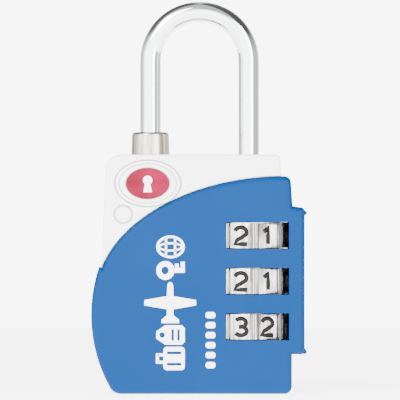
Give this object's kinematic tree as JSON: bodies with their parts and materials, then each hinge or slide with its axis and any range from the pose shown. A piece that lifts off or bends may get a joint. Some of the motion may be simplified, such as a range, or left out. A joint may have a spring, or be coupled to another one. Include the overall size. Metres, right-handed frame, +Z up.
{
  "type": "combination padlock",
  "caption": "Compact travel padlock with number dials, a chromed round-rod shackle, a push-down release collar and a key override in the base.",
  "frame": {"origin": "under the middle of the lock, on the base face it stands on; x = 0 and y = 0 are the middle of the overall box", "axes": "+Z up along the shackle legs, +Y from the front face to the back, +X to the right seen from the front"},
  "size_m": [0.0332, 0.014, 0.0612],
  "materials": {
    "white_shell": "satin white paint over die-cast zinc",
    "blue_cover": "satin moulded plastic",
    "shackle_chrome": "polished chrome plate",
    "nickel": "turned nickel plate",
    "dial_metal": "satin chrome plate on zinc",
    "red_enamel": "glossy enamel",
    "badge_rim": "bright plate",
    "steel": "zinc-plated steel",
    "spring_steel": "spring steel",
    "brass": "machined brass",
    "plug_metal": "nickel-plated brass",
    "figure_paint": "dark paint on the dials' figures",
    "white_print": "white printed ink"
  },
  "bodies": {
    "lock_body": {"front_case": "white_shell", "rear_case": "white_shell", "case_pins": "steel", "front_cover": "blue_cover", "rear_cover": "blue_cover", "cover_screws": "steel", "badge_plate": "badge_rim", "badge_enamel": "red_enamel", "raised_ring": "white_shell", "click_spring": "spring_steel", "reset_spring": "spring_steel", "shackle_spring": "spring_steel", "button_spring": "spring_steel", "toe_catch": "spring_steel", "override_spring": "spring_steel", "key_barrel": "brass"},
    "shackle_group": {"shackle": "shackle_chrome", "locking_spindle": "brass"},
    "coupler": {"coupler_plate": "steel"},
    "dial_top_group": {"dial_top": "dial_metal"},
    "dial_middle_group": {"dial_middle": "dial_metal"},
    "dial_bottom_group": {"dial_bottom": "dial_metal"},
    "sleeve_top_group": {"code_sleeve_top": "brass"},
    "sleeve_middle_group": {"code_sleeve_middle": "brass"},
    "sleeve_bottom_group": {"code_sleeve_bottom": "brass"},
    "reset_group": {"reset_pin": "steel"},
    "button": {"release_button": "nickel"},
    "key_group": {"key_plug": "plug_metal", "key_wafers": "brass", "key_cam": "steel", "cam_screw": "steel"},
    "override": {"override_bar": "steel"}
  },
  "joints": [
    {"name": "shackle_lift", "type": "slide", "parent": "lock_body", "child": "shackle_group", "axis": [0, 0, 1], "range_m": [0, 0.0062], "deforming": ["shackle_spring"]},
    {"name": "coupler_slide", "type": "slide", "parent": "shackle_group", "child": "coupler", "axis": [1, 0, 0], "range_m": [0, 0.00101]},
    {"name": "dial_top_turn", "type": "hinge", "parent": "lock_body", "child": "dial_top_group", "pos_m": [0.00785, 0, 0.02459], "axis": [0, 0, 1], "continuous": true, "deforming": ["click_spring"]},
    {"name": "dial_middle_turn", "type": "hinge", "parent": "lock_body", "child": "dial_middle_group", "pos_m": [0.00785, 0, 0.01752], "axis": [0, 0, 1], "continuous": true},
    {"name": "dial_bottom_turn", "type": "hinge", "parent": "lock_body", "child": "dial_bottom_group", "pos_m": [0.00785, 0, 0.01045], "axis": [0, 0, 1], "continuous": true},
    {"name": "code_reset", "type": "slide", "parent": "lock_body", "child": "reset_group", "axis": [0, 0, 1], "range_m": [0, 0.0009], "stiffness_N_per_m": 400, "deforming": ["reset_spring"]},
    {"name": "sleeve_top_shift", "type": "slide", "parent": "dial_top_group", "child": "sleeve_top_group", "axis": [0, 0, 1], "range_m": [0, 0.00091]},
    {"name": "sleeve_middle_shift", "type": "slide", "parent": "dial_middle_group", "child": "sleeve_middle_group", "axis": [0, 0, 1], "range_m": [0, 0.00091]},
    {"name": "sleeve_bottom_shift", "type": "slide", "parent": "dial_bottom_group", "child": "sleeve_bottom_group", "axis": [0, 0, 1], "range_m": [0, 0.00091]},
    {"name": "button_press", "type": "slide", "parent": "lock_body", "child": "button", "axis": [0, 0, -1], "range_m": [0, 0.0012], "stiffness_N_per_m": 600, "deforming": ["button_spring", "toe_catch"]},
    {"name": "override_slide", "type": "slide", "parent": "lock_body", "child": "override", "axis": [1, 0, 0], "range_m": [0, 0.001], "stiffness_N_per_m": 150, "deforming": ["override_spring"]},
    {"name": "key_turn", "type": "hinge", "parent": "lock_body", "child": "key_group", "pos_m": [-0.0072, 0, 0.007], "axis": [0, 0, 1], "range_deg": [0, 90.5]}
  ],
  "couplings": [
    {"joint": "coupler_slide", "follows": "override_slide", "ratio": 1},
    {"joint": "key_turn", "follows": "override_slide", "rad_per_m": 1570.8},
    {"joint": "sleeve_top_shift", "follows": "code_reset", "ratio": 1},
    {"joint": "sleeve_middle_shift", "follows": "code_reset", "ratio": 1},
    {"joint": "sleeve_bottom_shift", "follows": "code_reset", "ratio": 1}
  ]
}
